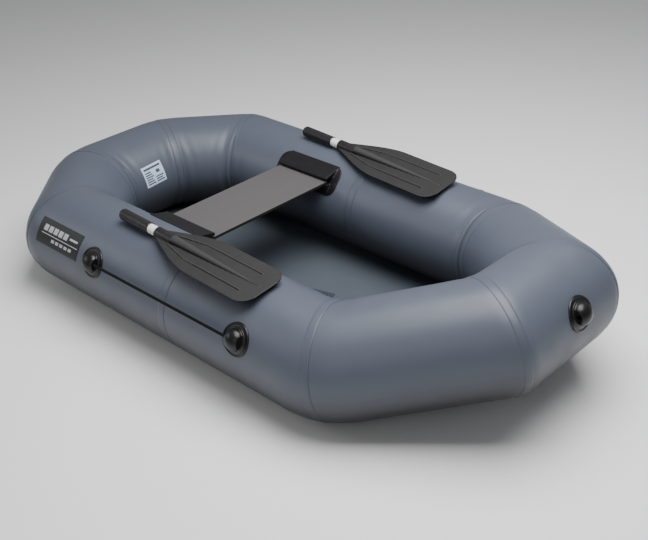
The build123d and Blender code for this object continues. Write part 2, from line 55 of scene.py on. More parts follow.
# ---------------------------------------------------------------- the hull's ring, from the frame
TUBE_NAMES = [
    "stern_corner_tube_starboard",
    "side_tube_starboard",
    "bow_corner_tube_starboard",
    "bow_tube",
    "bow_corner_tube_port",
    "side_tube_port",
    "stern_corner_tube_port",
    "stern_tube",
]
SEAM_NAMES = [
    "seam_strip_stern_starboard",
    "seam_strip_quarter_starboard",
    "seam_strip_shoulder_starboard",
    "seam_strip_bow_starboard",
    "seam_strip_bow_port",
    "seam_strip_shoulder_port",
    "seam_strip_quarter_port",
    "seam_strip_stern_port",
]
COUNT = len(TUBE_NAMES)
SIDE_RUN = TUBE_NAMES.index("side_tube_starboard")


def middle_of(points):
    """The centre of the box round some points."""
    low = Vector([min(p[i] for p in points) for i in range(3)])
    high = Vector([max(p[i] for p in points) for i in range(3)])
    return (low + high) / 2


def tube_end(node, along):
    """The centre of the ring of vertices at a tube's end, the end furthest along."""
    points = [v.co for v in nodes[node].data.vertices]
    half_way = middle_of(points).dot(along)
    return middle_of([p for p in points if p.dot(along) > half_way])


def to_starboard(point):
    return Vector((point.x, -point.y, point.z))


side_low, side_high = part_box("side_tube_port")
RADIUS = (side_high.z - side_low.z) / 2
AXIS_Z = (side_high.z + side_low.z) / 2
SIDE_Y = (side_high.y + side_low.y) / 2
bow_port = tube_end("bow_tube", Vector((0, 1, 0)))
shoulder_port = tube_end("side_tube_port", Vector((1, 0, 0)))
quarter_port = tube_end("side_tube_port", Vector((-1, 0, 0)))
stern_port = tube_end("stern_tube", Vector((0, 1, 0)))
port_corners = [bow_port, shoulder_port, quarter_port, stern_port]
corners = [to_starboard(p) for p in reversed(port_corners)] + port_corners
headings = [(corners[(i + 1) % COUNT] - corners[i]).normalized() for i in range(COUNT)]

# ---------------------------------------------------------------- camera
CAMERA_AT = Vector((1.992, -1.897, 1.674))
CAMERA_YAW = radians(134.8)
CAMERA_PITCH = radians(-30.2)
CAMERA_ROLL = radians(2.49)
CAMERA_LENS = 58.8


def add_camera():
    """The camera, looking down the starboard bow."""
    ahead = Vector(
        (
            cos(CAMERA_PITCH) * cos(CAMERA_YAW),
            cos(CAMERA_PITCH) * sin(CAMERA_YAW),
            sin(CAMERA_PITCH),
        )
    )
    level = Vector((sin(CAMERA_YAW), -cos(CAMERA_YAW), 0))
    above = level.cross(ahead)
    right = level * cos(CAMERA_ROLL) - above * sin(CAMERA_ROLL)
    up = above * cos(CAMERA_ROLL) + level * sin(CAMERA_ROLL)
    data = bpy.data.cameras.new("camera")
    data.lens = CAMERA_LENS
    camera = bpy.data.objects.new("camera", data)
    scene.collection.objects.link(camera)
    turn = Matrix((right, up, -ahead)).transposed()
    camera.matrix_world = Matrix.Translation(CAMERA_AT) @ turn.to_4x4()
    scene.camera = camera


add_camera()


# ---------------------------------------------------------------- materials
NOISE_SPAN = (0.3, 0.7)


class Shader:
    """A small wrapper that makes and links the nodes of one material."""

    def __init__(self, name, color, roughness, metallic=0.0, specular=0.5):
        self.material = bpy.data.materials.new(name)
        self.material.use_nodes = True
        self.material.diffuse_color = (*color, 1)
        self.tree = self.material.node_tree
        self.surface = self.tree.nodes["Principled BSDF"]
        self.surface.inputs["Base Color"].default_value = (*color, 1)
        self.surface.inputs["Roughness"].default_value = roughness
        self.surface.inputs["Metallic"].default_value = metallic
        self.surface.inputs["Specular IOR Level"].default_value = specular
        self.color = color
        self.height = None

    def node(self, kind, **settings):
        made = self.tree.nodes.new(kind)
        for key, value in settings.items():
            setattr(made, key, value)
        return made

    def link(self, source, target):
        self.tree.links.new(source, target)

    def position(self):
        return self.node("ShaderNodeTexCoord").outputs["Object"]

    def math(self, operation, first, second=None, third=None):
        """One arithmetic node on numbers or other nodes' outputs."""
        made = self.node("ShaderNodeMath", operation=operation)
        for slot, value in enumerate((first, second, third)):
            if value is None:
                continue
            if isinstance(value, (int, float)):
                made.inputs[slot].default_value = value
            else:
                self.link(value, made.inputs[slot])
        return made.outputs[0]

    def axis(self, vector, index):
        """The x, y or z of a vector."""
        made = self.node("ShaderNodeSeparateXYZ")
        self.link(vector, made.inputs[0])
        return made.outputs[index]

    def ramp(self, value, source, target, smooth=False):
        """Maps a value from one (low, high) span to another, clamped at both ends."""
        kind = "SMOOTHSTEP" if smooth else "LINEAR"
        made = self.node("ShaderNodeMapRange", interpolation_type=kind)
        made.inputs["From Min"].default_value, made.inputs["From Max"].default_value = source
        made.inputs["To Min"].default_value, made.inputs["To Max"].default_value = target
        self.link(value, made.inputs["Value"])
        return made.outputs[0]

    def noise(self, scale, detail=2.0, stretch=None):
        """Smooth noise from 0 to 1 on the object's own coordinates, scale per metre."""
        source = self.position()
        if stretch is not None:
            mapping = self.node("ShaderNodeMapping")
            mapping.inputs["Scale"].default_value = stretch
            self.link(source, mapping.inputs["Vector"])
            source = mapping.outputs[0]
        made = self.node("ShaderNodeTexNoise")
        made.inputs["Scale"].default_value = scale
        made.inputs["Detail"].default_value = detail
        made.inputs["Roughness"].default_value = 0.5
        self.link(source, made.inputs["Vector"])
        return made.outputs["Fac"]

    def waves(self, coordinate, pitch):
        """A rounded wave from 0 to 1 along a coordinate."""
        turned = self.math("MULTIPLY", coordinate, 2 * pi / pitch)
        return self.math("MULTIPLY_ADD", self.math("SINE", turned), 0.5, 0.5)

    def mix(self, factor, first, second):
        made = self.node("ShaderNodeMix", data_type="RGBA")
        self.link(factor, made.inputs["Factor"])
        for key, value in (("A", first), ("B", second)):
            slot = [s for s in made.inputs if s.name == key and s.type == "RGBA"][0]
            if isinstance(value, tuple):
                slot.default_value = (*value, 1)
            else:
                self.link(value, slot)
        return [s for s in made.outputs if s.type == "RGBA"][0]

    def paint(self, output):
        self.link(output, self.surface.inputs["Base Color"])

    def vary(self, amount, scale, detail=3.0):
        """Base colour that wanders lighter and darker by amount."""
        dark = tuple(c * (1 - amount) for c in self.color)
        light = tuple(min(1, c * (1 + amount)) for c in self.color)
        mixed = self.mix(self.noise(scale, detail), dark, light)
        self.paint(mixed)
        return mixed

    def rough_between(self, low, high, scale, detail=2.0):
        """Roughness that wanders between low and high; most noise lies in NOISE_SPAN."""
        value = self.ramp(self.noise(scale, detail), NOISE_SPAN, (low, high))
        self.link(value, self.surface.inputs["Roughness"])

    def bump(self, height, distance, strength=1.0):
        """Adds a height, in metres, to the material's bump."""
        made = self.node("ShaderNodeBump")
        made.inputs["Distance"].default_value = distance
        made.inputs["Strength"].default_value = strength
        self.link(height, made.inputs["Height"])
        if self.height is not None:
            self.link(self.height, made.inputs["Normal"])
        self.height = made.outputs[0]
        self.link(self.height, self.surface.inputs["Normal"])


WEAVE = 1.1 * MM
WEAVE_DEPTH = 0.05 * MM


def coated_fabric(name, color, roughness, under=None):
    """Plastic-coated cloth: the threads show faintly, and painted shade darkens the surfaces that
    face downward.
    """
    shader = Shader(name, color, roughness, specular=0.4)
    toned = shader.vary(0.05, 7, 4)
    if under is not None:
        # painted shade: the colour darkens to the shade colour as the surface turns to face down
        upward = shader.axis(shader.node("ShaderNodeNewGeometry").outputs["Normal"], 2)
        shader.paint(shader.mix(shader.ramp(upward, PAINTED_SHADE_SPAN, (0, 1), True), under, toned))
    shader.rough_between(roughness - 0.04, roughness + 0.05, 14, 4)
    place = shader.position()
    warp = shader.waves(shader.axis(place, 0), WEAVE)
    weft = shader.waves(shader.axis(place, 2), WEAVE)
    shader.bump(shader.math("MULTIPLY", warp, weft), WEAVE_DEPTH, 0.35)
    shader.bump(shader.noise(11, 3), 1.2 * MM, 0.25)
    return shader.material


def moulded(name, color, roughness, grain=0.06 * MM, scale=900, variation=0.08, specular=0.35):
    """Moulded plastic or rubber with a fine grain and slight handling marks."""
    shader = Shader(name, color, roughness, specular=specular)
    shader.vary(variation, 30, 4)
    shader.rough_between(roughness - 0.06, roughness + 0.08, 40, 4)
    shader.bump(shader.noise(scale, 2), grain, 0.5)
    return shader.material


HULL = (0.073, 0.084, 0.110)
# painted shade for the downward-facing skin, and the span of the normal's height over which it
# fades in
HULL_PAINTED_SHADE = (0.022, 0.0215, 0.024)
PAINTED_SHADE_SPAN = (-0.6, 0.15)
SEAM = tuple(0.97 * c for c in HULL)
# painted shadow line along one edge of each glued strip
SEAM_EDGE_SHADOW = (0.038, 0.046, 0.060)
FLOOR = (0.064, 0.076, 0.093)
PATCH = (0.030, 0.040, 0.053)

hull_pvc = coated_fabric("hull_coat", HULL, 0.42, HULL_PAINTED_SHADE)
seam_pvc = coated_fabric("seam_coat", SEAM, 0.4, HULL_PAINTED_SHADE)
seam_edge_shadow = coated_fabric("seam_edge_shadow", SEAM_EDGE_SHADOW, 0.5)
floor_pvc = coated_fabric("floor_coat", FLOOR, 0.5)
patch_pvc = coated_fabric("patch_coat", PATCH, 0.5)


# ---------------------------------------------------------------- mesh helpers
def make_piece(name, points, faces, materials, body="root"):
    """A new object from points and faces, riding on a body."""
    mesh = bpy.data.meshes.new(name)
    mesh.from_pydata([tuple(p) for p in points], [], faces)
    for material in materials:
        mesh.materials.append(material)
    tidy = bmesh.new()
    tidy.from_mesh(mesh)
    bmesh.ops.remove_doubles(tidy, verts=tidy.verts, dist=1e-6)
    bmesh.ops.recalc_face_normals(tidy, faces=tidy.faces)
    tidy.to_mesh(mesh)
    tidy.free()
    for polygon in mesh.polygons:
        polygon.use_smooth = True
    piece = bpy.data.objects.new(name, mesh)
    scene.collection.objects.link(piece)
    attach(piece, body)
    return piece


def grid(rows, columns, first=0, wrap_rows=False, wrap_columns=False):
    """Quads on rows by columns of points, numbered row by row."""
    faces = []
    for row in range(rows if wrap_rows else rows - 1):
        for column in range(columns if wrap_columns else columns - 1):
            below = (row + 1) % rows
            beside = (column + 1) % columns
            faces.append(
                (
                    first + row * columns + column,
                    first + row * columns + beside,
                    first + below * columns + beside,
                    first + below * columns + column,
                )
            )
    return faces


def rim_faces(rows, columns, first, second):
    """Quads that join the edges of two grids of the same size."""
    loop = list(range(columns))
    loop += [r * columns + columns - 1 for r in range(1, rows)]
    loop += [(rows - 1) * columns + c for c in range(columns - 2, -1, -1)]
    loop += [r * columns for r in range(rows - 2, 0, -1)]
    faces = []
    for index, spot in enumerate(loop):
        ahead = loop[(index + 1) % len(loop)]
        faces.append((first + spot, first + ahead, second + ahead, second + spot))
    return faces


def smooth_step(value, low, high):
    t = min(max((value - low) / (high - low), 0.0), 1.0)
    return t * t * (3 - 2 * t)


def apply_modifiers(piece):
    """Replaces the mesh by its evaluated one, with no modifier left."""
    bpy.context.view_layer.update()
    evaluated = piece.evaluated_get(bpy.context.evaluated_depsgraph_get())
    mesh = bpy.data.meshes.new_from_object(evaluated)
    piece.modifiers.clear()
    piece.data = mesh


def cut_away(piece, cutters):
    """Subtracts closed meshes from a piece, and removes them."""
    for cutter in cutters:
        modifier = piece.modifiers.new("cut", "BOOLEAN")
        modifier.operation = "DIFFERENCE"
        modifier.solver = "EXACT"
        modifier.object = cutter
    apply_modifiers(piece)
    for cutter in cutters:
        bpy.data.objects.remove(cutter)
    for polygon in piece.data.polygons:
        polygon.use_smooth = True


CUTTER_SIDES = 40


def bar(radius, start, end):
    """A plain closed cylinder from start to end, used only to cut holes."""
    along = end - start
    mesh = bpy.data.meshes.new("cutter")
    builder = bmesh.new()
    bmesh.ops.create_cone(
        builder,
        cap_ends=True,
        segments=CUTTER_SIDES,
        radius1=radius,
        radius2=radius,
        depth=along.length,
    )
    turn = along.to_track_quat("Z", "Y").to_matrix().to_4x4()
    bmesh.ops.transform(
        builder, matrix=Matrix.Translation((start + end) / 2) @ turn, verts=builder.verts
    )
    builder.to_mesh(mesh)
    builder.free()
    cutter = bpy.data.objects.new("cutter", mesh)
    scene.collection.objects.link(cutter)
    return cutter


# ---------------------------------------------------------------- ropes and their holders
ROPE_RADIUS = (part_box("lifeline_port")[1].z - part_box("lifeline_port")[0].z) / 2
BRAID_DEPTH = 0.11
BRAID_TURNS = 4
BRAID_PITCH = 22 * MM
ROPE_SIDES = 32
ROPE_STEP = 1.2 * MM
DOME_RADIUS = 29 * MM
DOME_TOP = 29 * MM
DOME_FLAT = 23 * MM
DOME_SHOULDER = 9 * MM
ROPE_HOLE = 5 * MM
TOW_HOLE = 6 * MM
HOLDER_SIDES = 120

holder_rubber = moulded("holder_rubber", (0.0055, 0.0054, 0.0062), 0.32, scale=500)
rope_yarn = moulded(
    "rope_yarn", (0.004, 0.004, 0.0045), 0.8, grain=0.2 * MM, scale=2500, specular=0.15
)


def braid(turn, along):
    """Share of the rope's radius: two sets of strands that cross over each other."""
    lift = 2 * pi * along / BRAID_PITCH
    left = abs(sin(BRAID_TURNS * turn + lift))
    right = abs(sin(BRAID_TURNS * turn - lift))
    return 1 - BRAID_DEPTH * (1 - max(left, right) ** 0.6)


def smooth_line(name, route):
    """Points along one smooth open curve through a route, from its first point."""
    curve = bpy.data.curves.new(name, "CURVE")
    curve.dimensions = "3D"
    spline = curve.splines.new("NURBS")
    spline.points.add(len(route) - 1)
    for point, place in zip(spline.points, route):
        point.co = (*place, 1)
    spline.order_u = 3
    spline.use_endpoint_u = True
    guide = bpy.data.objects.new(name, curve)
    scene.collection.objects.link(guide)
    bpy.context.view_layer.update()
    evaluated = guide.evaluated_get(bpy.context.evaluated_depsgraph_get())
    line = [v.co.copy() for v in bpy.data.meshes.new_from_object(evaluated).vertices]
    bpy.data.objects.remove(guide)
    if (line[0] - route[0]).length > (line[-1] - route[0]).length:
        line.reverse()
    return line


def add_rope(side):
    """A taut lifeline between two holders: straight, so its route has three points."""
    low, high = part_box("lifeline_" + side)
    middle = (low + high) / 2
    start = Vector((low.x, middle.y, middle.z))
    end = Vector((high.x, middle.y, middle.z))
    line = smooth_line("route_" + side, [start, (start + end) / 2, end])
    points = []
    length = (end - start).length
    rows = int(length / ROPE_STEP) + 1
    for row in range(rows):
        share = row / (rows - 1) * (len(line) - 1)
        index = min(int(share), len(line) - 2)
        centre = line[index].lerp(line[index + 1], share - index)
        for step in range(ROPE_SIDES):
            turn = 2 * pi * step / ROPE_SIDES
            radius = ROPE_RADIUS * braid(turn, (centre - start).length)
            points.append(centre + Vector((0, radius * cos(turn), radius * sin(turn))))
    faces = grid(rows, ROPE_SIDES, wrap_columns=True)
    faces += [tuple(range(ROPE_SIDES)), tuple(range((rows - 1) * ROPE_SIDES, rows * ROPE_SIDES))]
    piece = make_piece("rope_" + side, points, faces, [rope_yarn])
    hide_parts("lifeline_" + side)


DOME_STEPS = 15
DOME_FOOT = 5.6 * MM


def holder_profile():
    """Radius and height of the moulding: a rimmed disc, a step, and a dome."""
    rim = [(45.0, -0.4), (45.0, 1.0), (44.7, 2.5), (43.9, 3.7), (42.6, 4.2), (41.2, 4.0),
           (40.0, 3.3), (38.6, 2.9), (36.5, 2.9), (34.8, 3.0), (33.8, 3.4), (33.2, 4.2),
           (32.4, 4.9), (31.2, 5.2), (30.2, 5.5), (29.4, 6.3), (29.0, 7.6)]
    points = [(r * MM, h * MM) for r, h in rim]
    rise = DOME_TOP - DOME_SHOULDER
    for k in range(DOME_STEPS):
        angle = pi / 2 * k / DOME_STEPS
        points.append((DOME_RADIUS * cos(angle), DOME_SHOULDER + rise * sin(angle)))
    return points


def add_holder(node, tube_axis, outward, along, hole, both_sides):
    """A holder on a tube, bored along the rope; hole is its radius and its height."""
    across = outward.cross(along)
    rings = holder_profile()
    points = []
    for radius, height in rings:
        for step in range(HOLDER_SIDES):
            turn = 2 * pi * step / HOLDER_SIDES
            a, b = radius * cos(turn), radius * sin(turn)
            if height > DOME_FOOT:
                a = min(max(a, -DOME_FLAT), DOME_FLAT)
            drop = sqrt(RADIUS * RADIUS - b * b)
            points.append(tube_axis + along * a + across * b + outward * (drop + height))
    faces = grid(len(rings), HOLDER_SIDES, wrap_columns=True)
    top, base = len(points), len(points) + 1
    points.append(tube_axis + outward * (RADIUS + DOME_TOP))
    points.append(tube_axis + outward * (RADIUS - 0.4 * MM))
    last = (len(rings) - 1) * HOLDER_SIDES
    for step in range(HOLDER_SIDES):
        beside = (step + 1) % HOLDER_SIDES
        faces.append((last + step, last + beside, top))
        faces.append((beside, step, base))
    piece = make_piece("moulding_" + node, points, faces, [holder_rubber])
    radius, height = hole
    centre = tube_axis + outward * (RADIUS + height)
    start = centre - along * (2 * DOME_RADIUS if both_sides else 0)
    cut_away(piece, [bar(radius, start, centre + along * 2 * DOME_RADIUS)])
    piece.data.set_sharp_from_angle(angle=radians(38))
    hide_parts(node)


def add_ropes():
    """Both lifelines with their holders, then the tow holder at the bow."""
    for side, sign in (("starboard", -1), ("port", 1)):
        add_rope(side)
        rope = middle_of(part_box("lifeline_" + side))
        for end, direction in (("stern", 1), ("bow", -1)):
            node = "rope_holder_" + end + "_" + side
            axis_point = Vector((middle_of(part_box(node)).x, sign * SIDE_Y, AXIS_Z))
            out = Vector((0, rope.y - axis_point.y, rope.z - axis_point.z))
            hole = (ROPE_HOLE, out.length - RADIUS)
            along = Vector((direction, 0, 0))
            add_holder(node, axis_point, out.normalized(), along, hole, False)
    eye = [m for m in frame["record"]["mounts"] if m["name"] == "tow_eye"][0]
    axis_point = Vector((bow_port.x, eye["pos_m"][1], bow_port.z))
    out = Vector(eye["pos_m"]) - axis_point
    hole = (TOW_HOLE, out.length - RADIUS)
    add_holder("tow_holder", axis_point, out.normalized(), Vector((0, 1, 0)), hole, True)


add_ropes()

# ---------------------------------------------------------------- inflated hull
AROUND = 144
HALF_ROWS = 26
OUTER_BLENDS = {"stern": 95 * MM, "quarter": 60 * MM, "shoulder": 105 * MM, "bow": 38 * MM}
INNER_BLEND = 30 * MM
RIPPLE = 1.5 * MM
RIPPLE_PITCH = 36 * MM
RIPPLE_REACH = 48 * MM
BULKHEAD_X = middle_of([v.co for v in nodes["bulkhead_port"].data.vertices]).x
NECK = 1.6 * MM
NECK_REACH = 38 * MM

# Cross-section directions on each tube, carried round the ring from the side tube
spokes = [None] * COUNT
carried = []
for step in range(AROUND):
    angle = 2 * pi * step / AROUND
    carried.append(Vector((0, -cos(angle), sin(angle))))
for offset in range(COUNT):
    run = (SIDE_RUN + offset) % COUNT
    if offset:
        turn = headings[run - 1].rotation_difference(headings[run])
        carried = [turn @ spoke for spoke in carried]
    spokes[run] = carried


def mitre_point(corner, step):
    """Where a line along the tube's skin meets the mitre plane at a corner."""
    spoke = spokes[corner][step] * RADIUS
    ahead = headings[corner]
    normal = headings[corner - 1] + ahead
    return corners[corner] + spoke - ahead * (spoke.dot(normal) / ahead.dot(normal))


mitres = [[mitre_point(c, s) for s in range(AROUND)] for c in range(COUNT)]
outer_blends = [OUTER_BLENDS[name.split("_")[2]] for name in SEAM_NAMES]


def outside(corner, step):
    """1 on the outside of a corner's bend, -1 on its inside."""
    bend = (headings[corner - 1] - headings[corner]).normalized()
    middle = (spokes[corner - 1][step] + spokes[corner][step]).normalized()
    return middle.dot(bend)


def skin(corner, step, along):
    """A point of the inflated skin and its outward direction, along metres past a seam.

    The tube bends through a soft curve, wider on the outside of the corner, and its
    inside carries shallow ripples that fade away from the seam.
    """
    point = mitres[corner][step]
    before, after = headings[corner - 1], headings[corner]
    out = outside(corner, step)
    blend = INNER_BLEND + (outer_blends[corner] - INNER_BLEND) * (out + 1) / 2
    share = min(max((along + blend) / (2 * blend), 0.0), 1.0)
    if along <= -blend:
        place = point + before * along
    elif along >= blend:
        place = point + after * along
    else:
        place = point - before * blend * (1 - share) ** 2 + after * blend * share**2
    normal = spokes[corner - 1][step].lerp(spokes[corner][step], share).normalized()
    crease = smooth_step(-out, 0.1, 0.95) * exp(-((along / RIPPLE_REACH) ** 2))
    wander = noise.noise(place * 5) * 1.2
    place = place + normal * RIPPLE * crease * sin(2 * pi * along / RIPPLE_PITCH + wander + corner)
    soft = exp(-((along / (2 * RIPPLE_REACH)) ** 2))
    place = place + normal * 0.7 * MM * soft * noise.noise(place * 14 + Vector((corner, 0, 0)))
    return place, normal


def necked(place, normal):
    """Draws a side tube in a little where its bulkhead holds it."""
    if abs(abs(place.y) - SIDE_Y) > 1.1 * RADIUS:
        return place
    return place - normal * NECK * exp(-(((place.x - BULKHEAD_X) / NECK_REACH) ** 2))


def run_length(run, step):
    """Length of a tube from mitre to mitre along one line of its skin."""
    return (mitres[(run + 1) % COUNT][step] - mitres[run][step]).length


def add_tube(run):
    """One panel tube from seam to seam, closed at both seams behind the neighbours."""
    points = []
    shares = [(k / HALF_ROWS) ** 1.6 for k in range(HALF_ROWS + 1)]
    after = (run + 1) % COUNT
    for share in shares:
        for step in range(AROUND):
            place, normal = skin(run, step, share * run_length(run, step) / 2)
            points.append(necked(place, normal))
    for share in reversed(shares[:-1]):
        for step in range(AROUND):
            place, normal = skin(after, step, -share * run_length(run, step) / 2)
            points.append(necked(place, normal))
    rows = 2 * HALF_ROWS + 1
    faces = grid(rows, AROUND, wrap_columns=True)
    for row, corner in ((0, run), (rows - 1, after)):
        centre = len(points)
        points.append(corners[corner])
        for step in range(AROUND):
            beside = (step + 1) % AROUND
            faces.append((centre, row * AROUND + step, row * AROUND + beside))
    piece = make_piece("skin_" + TUBE_NAMES[run], points, faces, [hull_pvc])
    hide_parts(TUBE_NAMES[run])
    return piece


BAND_WIDTH = 26 * MM
BAND_EDGE = 1.6 * MM
BAND_THICKNESS = 0.9 * MM
BAND_RIM = 0.1 * MM
BAND_SINK = 0.5 * MM


def band_section():
    """(along, height) round a glued band's section: bevel, face, bevel, and its hidden base."""
    half = BAND_WIDTH / 2
    inner = half - BAND_EDGE
    face = [(share * inner, BAND_THICKNESS) for share in (-1, -0.5, 0, 0.5, 1)]
    base = [(half, -BAND_SINK), (-half, -BAND_SINK)]
    return [(-half, BAND_RIM)] + face + [(half, BAND_RIM)] + base


BAND_SECTION = band_section()
EARLIER_EDGE = 0
LATER_EDGE = 5


def add_band(name, node, place_at, shadow_edge):
    """A closed band; place_at(row, along) gives the skin, and the last argument picks the edge
    that carries a painted shadow line.
    """
    points = []
    for row in range(AROUND):
        for along, height in BAND_SECTION:
            spot, normal = place_at(row, along)
            points.append(spot + normal * height)
    columns = len(BAND_SECTION)
    faces = grid(AROUND, columns, wrap_rows=True, wrap_columns=True)
    piece = make_piece(name, points, faces, [seam_pvc, seam_edge_shadow])
    for index, polygon in enumerate(piece.data.polygons):
        # the faces along one edge get the painted shadow line
        polygon.material_index = int(index % columns == shadow_edge)
    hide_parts(node)


def add_seam(corner):
    """The strip over a mitre; the edge with its painted shadow line is towards the bow."""
    name = SEAM_NAMES[corner]
    starboard = corner < COUNT // 2
    shadow_edge = LATER_EDGE if starboard else EARLIER_EDGE
    add_band("band_" + name, name, lambda row, along: skin(corner, row, along), shadow_edge)


def add_bulkhead_band(side, name):
    """The strip round a side tube over its inner bulkhead."""

    def place_at(row, along):
        angle = 2 * pi * row / AROUND
        normal = Vector((0, side * cos(angle), sin(angle)))
        spot = Vector((BULKHEAD_X + along, side * SIDE_Y, AXIS_Z)) + normal * RADIUS
        return necked(spot, normal), normal

    add_band("band_bulkhead_" + name, "bulkhead_strip_" + name, place_at, LATER_EDGE)


VALVE_HOLE = 20.8 * MM


def cut_valve_holes(tube):
    """Holes through the starboard tube's wall, in line with the valves' nuts."""
    cutters = []
    for end in ("bow", "stern"):
        middle = middle_of(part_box("valve_nut_" + end))
        axis_point = Vector((middle.x, -SIDE_Y, AXIS_Z))
        out = (middle - axis_point).normalized() * RADIUS
        cutters.append(bar(VALVE_HOLE, axis_point + out * 0.6, axis_point + out * 1.2))
    cut_away(tube, cutters)


def add_hull():
    for run in range(COUNT):
        piece = add_tube(run)
        if run == SIDE_RUN:
            cut_valve_holes(piece)
    for corner in range(COUNT):
        add_seam(corner)
    add_bulkhead_band(-1, "starboard")
    add_bulkhead_band(1, "port")


add_hull()


# ---------------------------------------------------------------- floor
FLOOR_THICKNESS = 0.9 * MM
FOLD_SOFTNESS = 3 * MM
PUCKER = 1.6 * MM

floor_low, floor_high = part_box("floor_sheet")
FLOOR_MARGIN = floor_high.y - SIDE_Y
patch_middle = middle_of(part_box("floor_patch"))


def slanted(margin, rise):
    """How far an edge moves sideways when it is offset by margin and slants by rise."""
    return margin * sqrt(1 + rise * rise)


def floor_edge(x):
    """Half of the floor sheet's width."""
    stern_rise = (SIDE_Y - stern_port.y) / (quarter_port.x - stern_port.x)
    bow_rise = (SIDE_Y - bow_port.y) / (bow_port.x - shoulder_port.x)
    stern = stern_port.y + stern_rise * (x - stern_port.x) + slanted(FLOOR_MARGIN, stern_rise)
    bow = bow_port.y + bow_rise * (bow_port.x - x) + slanted(FLOOR_MARGIN, bow_rise)
    return min(SIDE_Y + FLOOR_MARGIN, stern, bow)


def floor_height(x, y):
    """Underside of the floor sheet: flat, then a ramp up to the bow, with soft puckers."""
    slope = Vector((bow_port.x - shoulder_port.x, 0, bow_port.z - AXIS_Z)).normalized()
    ramp_x = shoulder_port.x + AXIS_Z * slope.z
    ramp = AXIS_Z * (1 - slope.x) + (x - ramp_x) * slope.z / slope.x
    blend = (ramp + hypot(ramp, FOLD_SOFTNESS)) / 2
    inside = floor_edge(x) - FLOOR_MARGIN - abs(y)
    open_floor = smooth_step(inside, 0.06, 0.16)
    open_floor *= smooth_step(hypot(x - patch_middle.x, y - patch_middle.y), 0.07, 0.17)
    ripple = 0.5 + 0.5 * noise.noise(Vector((x * 7, y * 11, 3)))
    return blend + PUCKER * open_floor * ripple


FLOOR_ROWS = 150
FLOOR_COLUMNS = 71


def add_floor():
    """The floor sheet with its full thickness, stretched between the tubes."""
    top, under = [], []
    for row in range(FLOOR_ROWS):
        x = floor_low.x + (floor_high.x - floor_low.x) * row / (FLOOR_ROWS - 1)
        half = floor_edge(x)
        for column in range(FLOOR_COLUMNS):
            y = half * (2 * column / (FLOOR_COLUMNS - 1) - 1)
            z = floor_height(x, y)
            under.append(Vector((x, y, z)))
            top.append(Vector((x, y, z + FLOOR_THICKNESS)))
    faces = grid(FLOOR_ROWS, FLOOR_COLUMNS) + grid(FLOOR_ROWS, FLOOR_COLUMNS, first=len(top))
    faces += rim_faces(FLOOR_ROWS, FLOOR_COLUMNS, 0, len(top))
    piece = make_piece("sheet_floor", top + under, faces, [floor_pvc])
    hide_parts("floor_sheet")


add_floor()

# ---------------------------------------------------------------- printed plates
PLATE_ROWS = 40


def printed(name, ground, ink, roughness, bars):
    """A printed film: bars are (left, low, right, high, lean) on its face from 0 to 1."""
    shader = Shader(name, ground, roughness)
    face = shader.node("ShaderNodeUVMap", uv_map="face").outputs[0]
    u, v = shader.axis(face, 0), shader.axis(face, 1)
    mask = 0.0
    for left, low, right, high, lean in bars:
        leaned = shader.math("MULTIPLY_ADD", v, -lean, u)
        inside = shader.math("GREATER_THAN", leaned, left)
        for operation, value, limit in (
            ("LESS_THAN", leaned, right),
            ("GREATER_THAN", v, low),
            ("LESS_THAN", v, high),
        ):
            inside = shader.math("MULTIPLY", inside, shader.math(operation, value, limit))
        mask = shader.math("MAXIMUM", mask, inside)
    wear = shader.math("MULTIPLY_ADD", shader.noise(60, 4), 0.3, 0.8)
    worn = shader.math("MULTIPLY", mask, wear)
    shader.paint(shader.mix(worn, ground, ink))
    shader.bump(shader.noise(700, 2), 0.03 * MM, 0.4)
    return shader.material


PLATE_GROUND = (0.005, 0.0055, 0.006)
PLATE_INK = (0.40, 0.42, 0.44)
LABEL_GROUND = (0.50, 0.60, 0.74)
LABEL_INK = (0.030, 0.042, 0.062)

plate_print = printed(
    "plate_print",
    PLATE_GROUND,
    PLATE_INK,
    0.5,
    [(0.10 + 0.115 * k, 0.54, 0.19 + 0.115 * k, 0.78, 0.06) for k in range(5)]
    + [(0.70, 0.62, 0.88, 0.70, 0.06), (0.08, 0.42, 0.92, 0.45, 0.06)]
    + [(0.34 + 0.1 * k, 0.2, 0.41 + 0.1 * k, 0.32, 0.06) for k in range(5)],
)
label_print = printed(
    "label_print",
    LABEL_GROUND,
    LABEL_INK,
    0.35,
    [(0.08, 0.80, 0.92, 0.90, 0), (0.62, 0.52, 0.80, 0.68, 0)]
    + [(0.08, 0.10 + 0.11 * k, 0.46 - 0.04 * (k % 3), 0.16 + 0.11 * k, 0) for k in range(6)]
    + [(0.54, 0.10 + 0.11 * k, 0.92 - 0.06 * (k % 2), 0.16 + 0.11 * k, 0) for k in range(3)],
)


FILM_BEVEL = 0.6 * MM


